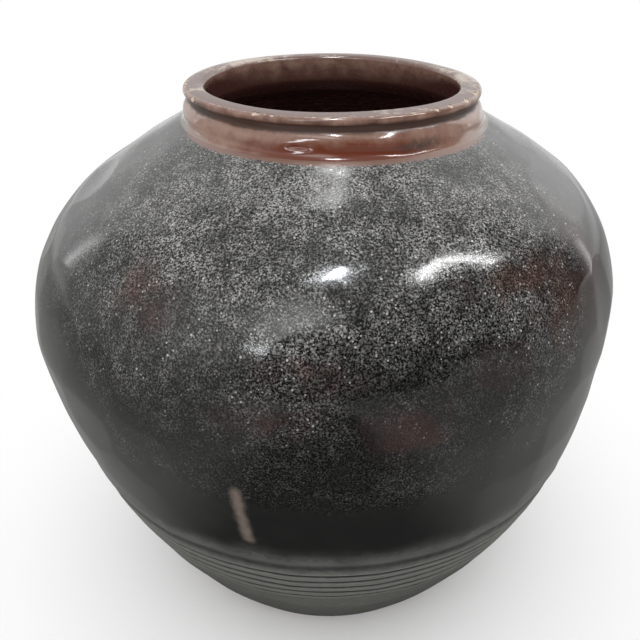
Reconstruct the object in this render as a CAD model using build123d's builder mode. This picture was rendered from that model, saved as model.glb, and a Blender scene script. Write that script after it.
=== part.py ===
"""A hand-built storage jar of glazed stoneware: round belly, small foot, short neck and a rolled rim.

The jar is one fired pot, but it is put together wet from ten pieces of clay: a base disc, a thumbed-in
coil round its inside corner, six broad bands beaten out from thick coils, a neck collar and a rim coil.
Each band is bevelled along its top edge, and the next one is pressed on over that bevel. Those ten pieces
are the ten solids here, and they meet face to face along the same slanting joints.

Every piece is a section turned about the Z axis. Sections are drawn with X as the radius and Y as the
height. The origin is the middle of the underside.
"""

from build123d import *
from math import cos, radians, sin, tan
import os

# The foot and the base disc
foot_radius = 113.0
foot_lean = 37.0
foot_bevel = 2.0
base_thickness = 14.0

# The wall, from the base disc to the root of the neck
belly_radius = 199.7
belly_height = 219.0
shoulder_height = 346.6
foot_wall = 14.0
belly_wall = 11.4
turn_wall = 10.2
neck_wall = 9.5

# The joints between the bands: how far one drops along the wall on its way in, from the belly up
joint_lap = 9.0

# The coil that is thumbed into the corner between the base and the wall
corner_coil_leg = 18.0

# The lines that a comb leaves round the lower wall, counted from the lowest, along the wall
comb_lines = 5
comb_start = 77.0
comb_pitch = 8.85
comb_depth = 1.1
comb_width = 3.0

# The mouth with its straight wall, and the rolled rim round it
mouth_radius = 81.3
mouth_depth = 17.0
mouth_ease_width = 3.4
mouth_ease_drop = 2.2
rim_width = 13.8
rim_thickness = 5.2
lip_top_round = 1.6
lip_under_round = 1.2
rim_joint_drop = 4.0

# The neck collar: a groove under the lip, a bulge below it and a flare down to the shoulder
groove_depth = 2.7
groove_height = 3.8
collar_height = 13.4
bulge_width = 4.0
root_flare = 3.2

# Where the belly has turned into the shoulder, as shares of the way out from the neck and up to it
shoulder_out_share = 0.565
shoulder_up_share = 0.735

# Where the bands meet between the ends of an arc, as shares of its length
foot_joint_share = 0.25
comb_joint_share = 0.62
belly_joint_share = 0.5


def finish(piece, label):
    """Names a finished piece and writes it to its own file."""
    piece.part.label = label
    export_step(piece.part, f"parts/{label}.step")
    print(label, round(piece.part.volume))


def into_the_clay(arc, share, depth):
    """A point under the outside of the wall, by a depth measured square to it."""
    return arc @ share + (arc % share).rotate(Axis.Z, 90) * depth


os.makedirs("parts", exist_ok=True)

# The radii of the mouth end, worked out from the mouth
rim_radius = mouth_radius + rim_width
groove_radius = rim_radius - groove_depth
neck_radius = groove_radius + bulge_width
neck_root_radius = neck_radius + root_flare

# The outside of the wall: three arcs that run into each other, up to the belly, over it and in to the neck
base_top_radius = foot_radius + base_thickness * tan(radians(foot_lean))
shoulder_turn = (
    neck_root_radius + shoulder_out_share * (belly_radius - neck_root_radius),
    belly_height + shoulder_up_share * (shoulder_height - belly_height),
)
lean_direction = (sin(radians(foot_lean)), cos(radians(foot_lean)))
with BuildLine():
    lower = TangentArc(
        (base_top_radius, base_thickness),
        (belly_radius, belly_height),
        tangent=lean_direction,
    )
    belly = TangentArc(lower @ 1, shoulder_turn, tangent=lower % 1)
    shoulder = TangentArc(belly @ 1, (neck_root_radius, shoulder_height), tangent=belly % 1)

# The inside of the wall: three arcs under those, but the lower two end short by the lap of a joint. So a
# joint, which runs from a share of an outer arc to the same share of the inner one, slants down and in
lower_lap_share = joint_lap / lower.length
belly_lap_share = joint_lap / belly.length
with BuildLine():
    inner_lower = TangentArc(
        (base_top_radius - foot_wall / cos(radians(foot_lean)), base_thickness),
        into_the_clay(lower, 1 - lower_lap_share, belly_wall),
        tangent=lean_direction,
    )
    inner_belly = TangentArc(
        inner_lower @ 1,
        into_the_clay(belly, 1 - belly_lap_share, turn_wall),
        tangent=inner_lower % 1,
    )
    inner_shoulder = TangentArc(
        inner_belly @ 1,
        into_the_clay(shoulder, 1, neck_wall),
        tangent=inner_belly % 1,
    )

# The base disc: a slab whose edge leans out to carry the first band
with BuildPart() as base_disc:
    with BuildSketch(Plane.XZ):
        with BuildLine():
            Polyline(
                (0, 0),
                (foot_radius, 0),
                (base_top_radius, base_thickness),
                (0, base_thickness),
                close=True,
            )
        make_face()
    revolve(axis=Axis.Z)
    underside = base_disc.faces().sort_by(Axis.Z)[0]
    chamfer(underside.edges(), foot_bevel)
finish(base_disc, "base_disc")

# The corner coil: it is thumbed flat across the corner inside the pot, from the disc to the wall
corner_top_share = corner_coil_leg / inner_lower.length
with BuildPart() as corner_coil:
    with BuildSketch(Plane.XZ):
        with BuildLine():
            add(inner_lower.trim(0, corner_top_share))
            corner = inner_lower @ 0
            Polyline(inner_lower @ corner_top_share, corner - Vector(corner_coil_leg, 0), corner)
        make_face()
    revolve(axis=Axis.Z)
finish(corner_coil, "corner_coil")

# The corners of the comb's notches, from the lowest up: each has two on the outside and one in the clay
comb_points = []
for line in range(comb_lines):
    middle = comb_start + line * comb_pitch
    comb_points += [
        lower @ ((middle - comb_width / 2) / lower.length),
        into_the_clay(lower, middle / lower.length, comb_depth),
        lower @ ((middle + comb_width / 2) / lower.length),
    ]

# The six bands of the wall: the arcs that each one lies between, and its two joints on them
bands = {
    "foot_band": (lower, inner_lower, 0, foot_joint_share),
    "combed_band": (lower, inner_lower, foot_joint_share, comb_joint_share),
    "lower_belly_band": (lower, inner_lower, comb_joint_share, 1),
    "upper_belly_band": (belly, inner_belly, 0, belly_joint_share),
    "lower_shoulder_band": (belly, inner_belly, belly_joint_share, 1),
    "upper_shoulder_band": (shoulder, inner_shoulder, 0, 1),
}
for name, (outside, inside, low_share, high_share) in bands.items():
    with BuildPart() as band:
        with BuildSketch(Plane.XZ):
            with BuildLine():
                if name == "combed_band":
                    add(outside.trim(low_share, comb_points[0]))
                    Polyline(*comb_points)
                    add(outside.trim(comb_points[-1], high_share))
                else:
                    add(outside.trim(low_share, high_share))
                add(inside.trim(low_share, high_share))
                Line(outside @ low_share, inside @ low_share)
                Line(outside @ high_share, inside @ high_share)
            make_face()
        revolve(axis=Axis.Z)
    finish(band, name)

# The heights of the neck and the rim, and the sloping seat between them
groove_bottom = Vector(groove_radius, shoulder_height + collar_height)
mouth_joint = Vector(mouth_radius, groove_bottom.Y - rim_joint_drop)
lip_height = groove_bottom.Y + groove_height
rim_top = lip_height + rim_thickness

# The neck collar: outside it turns up from the shoulder and leans in over a bulge to the groove, and inside
# it narrows in one bend from the pot to the straight wall of the mouth
shoulder_lean = radians((shoulder % 1).get_angle(Vector(0, 1)))
root_radius = root_flare / (1 - cos(shoulder_lean))
bulge_foot = Vector(neck_radius, shoulder_height + root_radius * sin(shoulder_lean))
mouth_foot = Vector(mouth_radius, rim_top - mouth_depth)
with BuildPart() as neck_collar:
    with BuildSketch(Plane.XZ):
        with BuildLine():
            root = TangentArc(shoulder @ 1, bulge_foot, tangent=shoulder % 1)
            bulge = TangentArc(bulge_foot, groove_bottom, tangent=root % 1)
            Polyline(bulge @ 1, mouth_joint, mouth_foot)
            throat = TangentArc(inner_shoulder @ 1, mouth_foot, tangent=inner_shoulder % 1)
            Line(throat @ 0, root @ 0)
        make_face()
    revolve(axis=Axis.Z)
finish(neck_collar, "neck_collar")

# The rolled rim: a coil pressed down on the collar, flat on top, eased into the mouth, with a round lip
# over the groove
with BuildPart() as rolled_rim:
    with BuildSketch(Plane.XZ):
        with BuildLine():
            under = Polyline(
                mouth_joint,
                groove_bottom,
                (groove_radius, lip_height),
                (rim_radius - lip_under_round, lip_height),
            )
            nose = Vector(rim_radius, lip_height + rim_thickness / 2)
            TangentArc(nose, under @ 1, tangent=(0, -1))
            lip = TangentArc(nose, (rim_radius - lip_top_round, rim_top), tangent=(0, 1))
            top = Line(lip @ 1, (mouth_radius + mouth_ease_width, rim_top))
            ease = TangentArc(top @ 1, (mouth_radius, rim_top - mouth_ease_drop), tangent=top % 1)
            Line(ease @ 1, mouth_joint)
        make_face()
    revolve(axis=Axis.Z)
finish(rolled_rim, "rolled_rim")
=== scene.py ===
"""The look of a hand-built storage jar of glazed stoneware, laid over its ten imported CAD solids.

The jar is one skin of glaze over ten pieces of clay. The skin is a section path turned about the Z axis,
pushed in and out by the marks of the paddle, the comb, the fingers and the chips on the lip. Each piece
takes its own stretch of that skin and closes it along the slanting joints that it shares with its
neighbours. Sizes are in millimetres, as in the part's source, and turn into metres when a mesh is made.
"""

import logging
from dataclasses import dataclass, field, replace
from enum import Enum
from math import cos, pi, radians, sin, tan

import bmesh
import bpy
import numpy as np
from mathutils import Matrix, Vector


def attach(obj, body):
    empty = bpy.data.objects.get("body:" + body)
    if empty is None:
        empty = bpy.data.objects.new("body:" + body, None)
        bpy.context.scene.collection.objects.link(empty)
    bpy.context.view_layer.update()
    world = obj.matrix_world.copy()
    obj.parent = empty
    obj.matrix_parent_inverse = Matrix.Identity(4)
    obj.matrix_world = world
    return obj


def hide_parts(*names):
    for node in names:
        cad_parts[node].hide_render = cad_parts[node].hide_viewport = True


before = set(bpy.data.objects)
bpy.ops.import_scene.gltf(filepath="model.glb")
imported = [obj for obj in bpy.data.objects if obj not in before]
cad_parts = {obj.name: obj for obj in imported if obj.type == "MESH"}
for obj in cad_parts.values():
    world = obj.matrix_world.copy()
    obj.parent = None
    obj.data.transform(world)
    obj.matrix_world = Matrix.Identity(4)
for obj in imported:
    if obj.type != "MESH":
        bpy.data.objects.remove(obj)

log = logging.getLogger("jar")

MM = 0.001
STRAIGHT_TURN = radians(0.01)
FEWEST_LINE_POINTS = 2
FEWEST_ARC_POINTS = 6
Point = tuple[float, float]
Colour = tuple[float, float, float]
Sockets = bpy.types.bpy_prop_collection


# Small sums that every class here uses


def smooth_step(low: float, high: float, value: np.ndarray) -> np.ndarray:
    """Goes from 0 at a low value to 1 at a high one, with no corner at either end.

    Args:
        low: The value up to which the result is 0.
        high: The value from which the result is 1.
        value: The values to weigh.

    Returns:
        3x² − 2x³, where x is how far each value is on its way from low to high.
    """
    share = np.clip((value - low) / (high - low), 0, 1)
    return share * share * (3 - 2 * share)


def bell(offset: np.ndarray, width: float | np.ndarray) -> np.ndarray:
    """A bell curve: 1 at no offset, and e^(−½) at one width from it."""
    return np.exp(-0.5 * (offset / width) ** 2)


def angle_between(angle: np.ndarray, centre: float) -> np.ndarray:
    """How far angles lie from a centre, in degrees from −180 to 180."""
    return (angle - centre + 180) % 360 - 180


def arc(start: Point, heading: Point, end: Point, step: float = 0.1) -> tuple[np.ndarray, Point]:
    """Points along the one arc that leaves a start on a heading and ends at an end.

    The arc turns by twice the angle from its heading to its chord, so its radius is the chord over
    twice the sine of that angle.

    Args:
        start: Where the arc starts, as radius and height.
        heading: The direction it starts in, of length 1.
        end: Where it ends.
        step: About how far apart the points lie.

    Returns:
        The points, and the direction in which the arc ends.
    """
    chord = np.subtract(end, start)
    length = np.hypot(*chord)
    aside = heading[0] * chord[1] - heading[1] * chord[0]
    along = heading[0] * chord[0] + heading[1] * chord[1]
    turn = 2 * np.arctan2(aside, along)
    if abs(turn) < STRAIGHT_TURN:
        count = max(int(length / step), FEWEST_LINE_POINTS)
        return np.linspace(start, end, count), heading
    radius = length / (2 * np.sin(turn / 2))
    count = max(int(abs(radius * turn) / step), FEWEST_ARC_POINTS)
    angles = np.linspace(0, turn, count)
    ahead = radius * np.sin(angles)
    across = radius * (1 - np.cos(angles))
    points = np.stack(
        [
            start[0] + ahead * heading[0] - across * heading[1],
            start[1] + ahead * heading[1] + across * heading[0],
        ],
        axis=1,
    )
    last = (
        heading[0] * np.cos(turn) - heading[1] * np.sin(turn),
        heading[1] * np.cos(turn) + heading[0] * np.sin(turn),
    )
    return points, last


def under_skin(points: np.ndarray, share: float, depth: float) -> Point:
    """The point at a share of the way along a run, a depth into the clay and square to the skin.

    Args:
        points: Evenly spaced points of the run, going up the outside.
        share: The share of the way, from 0 to 1.
        depth: The depth below the skin.

    Returns:
        The point, as radius and height.
    """
    place = share * (len(points) - 1)
    index = min(int(place), len(points) - 2)
    ahead = points[index + 1] - points[index]
    ahead = ahead / np.hypot(*ahead)
    here = points[index] + (place - index) * (points[index + 1] - points[index])
    return here[0] - depth * ahead[1], here[1] + depth * ahead[0]


@dataclass(frozen=True)
class JarSizes:
    """The jar's driving sizes, the same as the CAD part's, with the foot's lean in degrees."""

    foot_radius: float = 113.0
    foot_lean: float = 37.0
    foot_bevel: float = 2.0
    base_thickness: float = 14.0
    belly_radius: float = 199.7
    belly_height: float = 219.0
    shoulder_height: float = 346.6
    foot_wall: float = 14.0
    belly_wall: float = 11.4
    turn_wall: float = 10.2
    neck_wall: float = 9.5
    joint_lap: float = 9.0
    corner_coil_leg: float = 18.0
    mouth_radius: float = 81.3
    mouth_depth: float = 17.0
    mouth_ease_width: float = 3.4
    mouth_ease_drop: float = 2.2
    rim_width: float = 13.8
    rim_thickness: float = 5.2
    lip_top_round: float = 1.6
    lip_under_round: float = 1.2
    rim_joint_drop: float = 4.0
    groove_depth: float = 2.7
    groove_height: float = 3.8
    collar_height: float = 13.4
    bulge_width: float = 4.0
    root_flare: float = 3.2
    shoulder_out_share: float = 0.565
    shoulder_up_share: float = 0.735
    foot_joint_share: float = 0.25
    comb_joint_share: float = 0.62
    belly_joint_share: float = 0.5


class Outline:
    """The jar's section as one path from the middle of the underside to the middle of the floor inside.

    It goes out under the base, up the outside, over the rim and down the inside. A place on it is the
    distance along the path. The glaze rounds every corner, so the path is softened by a bell curve.
    """

    step: float = 0.1
    glaze_softness: float = 0.45
    softness_reach: float = 4.0

    def __init__(self, sizes: JarSizes) -> None:
        """Draws the path.

        Args:
            sizes: The driving sizes.
        """
        self.sizes = sizes
        self.runs: dict[str, np.ndarray] = {}
        self.draw_outside()
        self.draw_mouth()
        self.draw_inside()
        self.join_runs()

    def straight(self, name: str, start: Point, end: Point) -> None:
        """Adds a straight run.

        Args:
            name: The run's name.
            start: Where it starts, as radius and height.
            end: Where it ends.
        """
        count = max(int(np.hypot(*np.subtract(end, start)) / self.step), FEWEST_LINE_POINTS)
        self.runs[name] = np.linspace(start, end, count)

    def draw_outside(self) -> None:
        """Draws the underside, the foot and the three arcs of the wall."""
        s = self.sizes
        lean = radians(s.foot_lean)
        bevel_top = (s.foot_radius + s.foot_bevel * sin(lean), s.foot_bevel * cos(lean))
        self.base_top = (s.foot_radius + s.base_thickness * tan(lean), s.base_thickness)
        self.straight("underside", (0, 0), (s.foot_radius - s.foot_bevel, 0))
        self.straight("bevel", (s.foot_radius - s.foot_bevel, 0), bevel_top)
        self.straight("base_side", bevel_top, self.base_top)
        rim_radius = s.mouth_radius + s.rim_width
        self.groove_radius = rim_radius - s.groove_depth
        neck_radius = self.groove_radius + s.bulge_width
        root = (neck_radius + s.root_flare, s.shoulder_height)
        widest = (s.belly_radius, s.belly_height)
        turn = (
            root[0] + s.shoulder_out_share * (s.belly_radius - root[0]),
            s.belly_height + s.shoulder_up_share * (s.shoulder_height - s.belly_height),
        )
        self.runs["lower"], heading = arc(self.base_top, (sin(lean), cos(lean)), widest)
        self.runs["belly"], heading = arc(widest, heading, turn)
        self.runs["shoulder"], heading = arc(turn, heading, root)
        leaning = np.arctan2(-heading[0], heading[1])
        root_radius = s.root_flare / (1 - np.cos(leaning))
        bulge_foot = (neck_radius, s.shoulder_height + root_radius * np.sin(leaning))
        groove_bottom = (self.groove_radius, s.shoulder_height + s.collar_height)
        self.runs["root"], heading = arc(root, heading, bulge_foot)
        self.runs["bulge"], heading = arc(bulge_foot, heading, groove_bottom)

    def draw_mouth(self) -> None:
        """Draws the groove, the lip, the flat top of the rim and the straight wall of the mouth."""
        s = self.sizes
        rim_radius = s.mouth_radius + s.rim_width
        groove_height = s.shoulder_height + s.collar_height
        lip_height = groove_height + s.groove_height
        self.rim_top = lip_height + s.rim_thickness
        under = (rim_radius - s.lip_under_round, lip_height)
        nose = (rim_radius, lip_height + s.rim_thickness / 2)
        lip_top = (rim_radius - s.lip_top_round, self.rim_top)
        ease_top = (s.mouth_radius + s.mouth_ease_width, self.rim_top)
        ease_foot = (s.mouth_radius, self.rim_top - s.mouth_ease_drop)
        mouth_joint = (s.mouth_radius, groove_height - s.rim_joint_drop)
        self.mouth_foot = (s.mouth_radius, self.rim_top - s.mouth_depth)
        self.straight("groove", (self.groove_radius, groove_height), (self.groove_radius, lip_height))
        self.straight("lip_under", (self.groove_radius, lip_height), under)
        self.runs["lip_low"] = arc(nose, (0, -1), under)[0][::-1]
        self.runs["lip_high"] = arc(nose, (0, 1), lip_top)[0]
        self.straight("rim_top", lip_top, ease_top)
        self.runs["ease"] = arc(ease_top, (-1, 0), ease_foot)[0]
        self.straight("mouth_top", ease_foot, mouth_joint)
        self.straight("mouth_wall", mouth_joint, self.mouth_foot)

    def draw_inside(self) -> None:
        """Draws the throat, the three arcs of the inside, the thumbed corner and the floor."""
        s = self.sizes
        lean = radians(s.foot_lean)
        lower, belly, shoulder = self.runs["lower"], self.runs["belly"], self.runs["shoulder"]
        lower_lap_share = s.joint_lap / self.length_of("lower")
        belly_lap_share = s.joint_lap / self.length_of("belly")
        self.corner = (self.base_top[0] - s.foot_wall / cos(lean), s.base_thickness)
        widest = under_skin(lower, 1 - lower_lap_share, s.belly_wall)
        turn = under_skin(belly, 1 - belly_lap_share, s.turn_wall)
        throat_foot = under_skin(shoulder, 1, s.neck_wall)
        inner_lower, heading = arc(self.corner, (sin(lean), cos(lean)), widest)
        inner_belly, heading = arc(widest, heading, turn)
        inner_shoulder, heading = arc(turn, heading, throat_foot)
        throat, heading = arc(throat_foot, heading, self.mouth_foot)
        steps = np.hypot(*np.diff(inner_lower, axis=0).T)
        self.inner_lower_length = float(steps.sum())
        coil_share = s.corner_coil_leg / self.inner_lower_length
        kept = inner_lower[round(coil_share * (len(inner_lower) - 1)):]
        self.runs["throat"] = throat[::-1]
        self.runs["inner_shoulder"] = inner_shoulder[::-1]
        self.runs["inner_belly"] = inner_belly[::-1]
        self.runs["inner_lower"] = kept[::-1]
        coil_foot = (self.corner[0] - s.corner_coil_leg, self.corner[1])
        self.straight("coil", tuple(kept[0]), coil_foot)
        self.straight("floor", coil_foot, (0, s.base_thickness))

    def length_of(self, name: str) -> float:
        """The length of a run along its points."""
        return float(np.hypot(*np.diff(self.runs[name], axis=0).T).sum())

    def join_runs(self) -> None:
        """Joins the runs end to end, spaces the path evenly, softens it and works out its normals."""
        self.starts: dict[str, float] = {}
        self.ends: dict[str, float] = {}
        so_far = 0.0
        for name in self.runs:
            self.starts[name] = so_far
            so_far += self.length_of(name)
            self.ends[name] = so_far
        corners = np.concatenate(list(self.runs.values()))
        gone = np.hypot(*np.diff(corners, axis=0).T)
        keep = np.concatenate([[True], gone > 0])
        corners = corners[keep]
        along = np.concatenate([[0], np.cumsum(gone)])[keep]
        self.length = so_far
        self.along = np.linspace(0, along[-1], int(along[-1] / self.step) + 1)
        reach = int(self.softness_reach * self.glaze_softness / self.step)
        kernel = bell(np.arange(-reach, reach + 1) * self.step, self.glaze_softness)
        kernel /= kernel.sum()
        soft = []
        for values in corners.T:
            even = np.interp(self.along, along, values)
            padded = np.pad(even, reach, mode="reflect", reflect_type="odd")
            soft.append(np.convolve(padded, kernel, mode="valid"))
        self.radius, self.height = soft
        self.radius[[0, -1]] = 0
        out, up = np.gradient(self.radius), np.gradient(self.height)
        size = np.hypot(out, up)
        self.normal_out, self.normal_up = up / size, -out / size

    def at(self, along: np.ndarray) -> tuple[np.ndarray, np.ndarray, np.ndarray, np.ndarray]:
        """What the path is like at some places on it.

        Args:
            along: Distances along the path.

        Returns:
            The radius, the height and the normal's two parts at each.
        """
        return tuple(
            np.interp(along, self.along, values)
            for values in (self.radius, self.height, self.normal_out, self.normal_up)
        )

    def outside_at_height(self, height: float) -> float:
        """Where the outside of the wall passes a height.

        Args:
            height: The height.

        Returns:
            The distance along the path.
        """
        first, last = self.starts["lower"], self.starts["groove"]
        here = (self.along >= first) & (self.along <= last)
        return float(np.interp(height, self.height[here], self.along[here]))


# What hands and tools left in the surface


@dataclass(frozen=True)
class Wave:
    """A ripple round the jar, with its height, its swings in one turn and its start in radians.

    Its step says how far it shifts with every line, or with every millimetre along the path.
    """

    height: float
    swings: float
    start: float = 0.0
    step: float = 0.0

    def at(self, turn: np.ndarray, place: np.ndarray | float = 0.0) -> np.ndarray:
        """Its height, which is height · sin(swings · turn + start + step · place)."""
        return self.height * np.sin(self.swings * turn + self.start + self.step * place)


def ripple(waves: tuple[Wave, ...], turn: np.ndarray, place: np.ndarray | float = 0.0) -> np.ndarray:
    """The sum of waves at angles in radians, for a line or for distances along the path."""
    return sum(wave.at(turn, place) for wave in waves)


@dataclass(frozen=True)
class Spot:
    """A soft place on the jar: its middle and how far it spreads, in degrees and millimetres."""

    angle: float
    height: float
    angle_spread: float
    height_spread: float

    def weight(self, angle: np.ndarray | float, height: np.ndarray | float) -> np.ndarray:
        """1 in the middle, falling off as a bell curve both ways."""
        around = bell(angle_between(angle, self.angle), self.angle_spread)
        return around * bell(height - self.height, self.height_spread)


@dataclass(frozen=True)
class Dent:
    """A shallow flat or hollow that a paddle or a finger left in the wall.

    Sizes are in millimetres, and the angle is in degrees from the front, to the viewer's right.
    """

    angle: float
    height: float
    half_width: float
    half_height: float
    depth: float


@dataclass(frozen=True)
class Chip:
    """A place along the lip where the glaze has come off: from one angle to another, in degrees."""

    first: float
    last: float
    width: float
    depth: float
    drop: float = 0.0


@dataclass
class Relief:
    """How far the finished surface stands proud of the plain section.

    Heights are in millimetres, below zero where clay is missing.
    """

    outline: Outline
    seed: int = 11
    row_pitch: float = 34.0
    mark_pitch: float = 46.0
    mark_stray_share: float = 0.25
    row_stray_share: float = 0.2
    mark_depths: Point = (0.3, 0.85)
    mark_half_widths: Point = (24.0, 36.0)
    mark_half_heights: Point = (18.0, 28.0)
    flat_power: float = 1.2
    foot_fade: float = 24.0
    neck_fade: float = 22.0
    calm: Spot = Spot(32, 297, 26, 20)
    comb_lines: int = 5
    comb_start: float = 77.0
    comb_pitch: float = 8.85
    comb_depth: float = 1.1
    comb_width: float = 0.95
    comb_waver: tuple[Wave, ...] = (Wave(0.45, 2, 0.8), Wave(0.3, 5, 2.1), Wave(0.15, 13))
    line_waver: tuple[Wave, ...] = (Wave(0.2, 7, step=2), Wave(0.1, 23, step=1))
    comb_pressure: float = 0.85
    pressure_wave: Wave = Wave(0.15, 4, step=1.7)
    burr_height: float = 0.28
    burr_offset: float = 2.28
    ridge_along: float = 133.0
    ridge_height: float = 0.5
    ridge_spread: float = 3.4
    ridge_waver: float = 2.0
    trough_depth: float = 0.3
    trough_drop: float = 9.5
    trough_spread: float = 3.0
    neck_swell: tuple[Wave, ...] = (Wave(0.35, 3, 0.4), Wave(0.3, 8, 2.2, step=0.5), Wave(0.2, 17, 1))
    slit: Spot = Spot(-12, 352.6, 3.0, 0.9)
    slit_depth: float = 1.0
    ring_pitch: float = 9.0
    ring_depth: float = 0.3
    ring_fade: float = 20.0
    lip_wear: float = 0.6
    lip_wear_spread: float = 1.7
    overlap: float = 10.0
    dents: tuple[Dent, ...] = (
        Dent(26, 256, 26, 22, 1.2),
        Dent(-77, 277, 26, 16, 1.7),
        Dent(-76, 235, 40, 26, 1.0),
        Dent(-80, 312, 30, 20, 2.0),
        Dent(60, 262, 20, 30, 1.2),
        Dent(66, 318, 34, 24, 1.4),
    )
    chips: tuple[Chip, ...] = (
        Chip(-29, -25, 2.3, 1.0),
        Chip(-23.5, -20, 1.5, 0.8),
        Chip(-8, 3, 0.8, 0.4),
        Chip(11, 15, 0.7, 0.3),
        Chip(28, 31, 1.2, 0.6),
        Chip(36.5, 39.5, 1.9, 0.9),
        Chip(45, 48, 1.6, 0.7),
        Chip(54, 61, 1.8, 0.9),
        Chip(65, 76, 1.7, 0.8),
        Chip(-96, -76, 1.6, 0.8),
        Chip(-64, -58, 1.5, 0.7, drop=2.5),
        Chip(150, 158, 1.3, 0.6),
        Chip(-140, -133, 1.4, 0.7),
    )
    chip_fray: tuple[Wave, ...] = (Wave(0.25, 61), Wave(0.2, 97, 1), Wave(0.15, 151, 2))
    chip_waver: Wave = Wave(0.4, 43)
    chip_slope_share: float = 0.45
    paddle_marks: list[Dent] = field(init=False)

    def __post_init__(self) -> None:
        """Lays out the paddle's rows of marks, each row with its own start and each mark a little off.

        One place on the shoulder is smoother than the rest, so the marks fade out towards it.
        """
        rng = np.random.default_rng(self.seed)
        path = self.outline
        self.wall_start = path.starts["lower"]
        self.wall_end = path.ends["shoulder"]
        self.paddle_marks = []
        stray, row_stray = self.mark_stray_share, self.row_stray_share
        for along in np.arange(self.wall_start + self.row_pitch, self.wall_end, self.row_pitch):
            radius = float(path.at(along)[0])
            count = round(2 * pi * radius / self.mark_pitch)
            angles = 360 / count * (np.arange(count) + rng.uniform(-stray, stray, count) + rng.uniform())
            places = along + rng.uniform(-row_stray, row_stray, count) * self.row_pitch
            for angle, place in zip(angles, places):
                height = float(path.at(place)[1])
                mark = Dent(
                    angle,
                    height,
                    rng.uniform(*self.mark_half_widths),
                    rng.uniform(*self.mark_half_heights),
                    rng.uniform(*self.mark_depths) * (1 - self.calm.weight(angle, height)),
                )
                self.paddle_marks.append(mark)

    def dented(self, along: np.ndarray, angle: np.ndarray, dents: list[Dent]) -> np.ndarray:
        """The depth of the flats, which melt into each other where they overlap.

        Each flat is its depth times (1 − q)^1.2, where q is the squared distance from its middle in
        half sizes. The flats add up as the cube root of the sum of their cubes.

        Args:
            along: Distances along the path, in rows.
            angle: Angles round the jar, in columns.
            dents: The flats.

        Returns:
            The depth at every place.
        """
        total = np.zeros(np.broadcast_shapes(along.shape, angle.shape))
        for dent in dents:
            middle = self.outline.outside_at_height(dent.height)
            rows = np.abs(along[:, 0] - middle) < dent.half_height
            if not rows.any():
                continue
            radius = float(self.outline.at(middle)[0])
            across = np.radians(angle_between(angle, dent.angle)) * radius / dent.half_width
            q = np.minimum(across**2 + ((along[rows] - middle) / dent.half_height) ** 2, 1)
            total[rows] += (dent.depth * (1 - q) ** self.flat_power) ** 3
        return np.cbrt(total)

    def combed(self, along: np.ndarray, angle: np.ndarray) -> np.ndarray:
        """The comb's lines, and the ridge above them.

        A line is a bell-shaped furrow between two low burrs, on a slightly wavy course. The ridge is a
        bell too, with a shallow trough below it.

        Args:
            along: Distances along the path, in rows.
            angle: Angles round the jar, in columns.

        Returns:
            The height at every place.
        """
        turn = np.radians(angle)
        waver = ripple(self.comb_waver, turn)
        total = np.zeros(np.broadcast_shapes(along.shape, angle.shape))
        for line in range(self.comb_lines):
            own = ripple(self.line_waver, turn, line)
            offset = along - (self.wall_start + self.comb_start + line * self.comb_pitch + waver + own)
            pressure = self.comb_pressure + self.pressure_wave.at(turn, line)
            total -= self.comb_depth * pressure * bell(offset, self.comb_width)
            for side in (-self.burr_offset, self.burr_offset):
                total += self.burr_height * bell(offset + side, self.comb_width)
        ridge = along - self.wall_start - self.ridge_along - self.ridge_waver * waver
        total += self.ridge_height * bell(ridge, self.ridge_spread)
        total -= self.trough_depth * bell(ridge + self.trough_drop, self.trough_spread)
        return total

    def pressed_neck(self, along: np.ndarray, angle: np.ndarray) -> np.ndarray:
        """The fingers' marks on the neck: slow swells, and one slit-like dent in front.

        Args:
            along: Distances along the path, in rows.
            angle: Angles round the jar, in columns.

        Returns:
            The height at every place.
        """
        path, slit = self.outline, self.slit
        on_neck = smooth_step(path.starts["root"], path.starts["bulge"], along)
        on_neck = on_neck * (1 - smooth_step(path.starts["groove"], path.ends["groove"], along))
        swell = ripple(self.neck_swell, np.radians(angle), along)
        off_slit = along - path.outside_at_height(slit.height)
        around = bell(angle_between(angle, slit.angle), slit.angle_spread)
        dent = around * bell(off_slit, slit.height_spread)
        return on_neck * (swell - self.slit_depth * dent)

    def chip_shape(self, along: np.ndarray, angle: np.ndarray) -> tuple[np.ndarray, np.ndarray]:
        """The chips in the lip. Each is an ellipse over its upper corner, with a frayed edge.

        Args:
            along: Distances along the path, in rows.
            angle: Angles round the jar, in columns.

        Returns:
            Where the lip is chipped, from 0 at a chip's edge to 1 in its middle, and how deep.
        """
        place = np.zeros(np.broadcast_shapes(along.shape, angle.shape))
        depth = np.zeros_like(place)
        turn = np.radians(angle)
        for chip in self.chips:
            middle = (chip.first + chip.last) / 2
            half = (chip.last - chip.first) / 2
            centre = self.outline.ends["lip_high"] - chip.drop + self.chip_waver.at(turn)
            away = (along - centre) / chip.width
            q = np.sqrt((angle_between(angle, middle) / half) ** 2 + away**2)
            inside = np.clip(1 - q - ripple(self.chip_fray, turn), 0, 1)
            place = np.maximum(place, inside)
            depth = np.maximum(depth, chip.depth * smooth_step(0, self.chip_slope_share, inside))
        return place, depth

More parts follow.
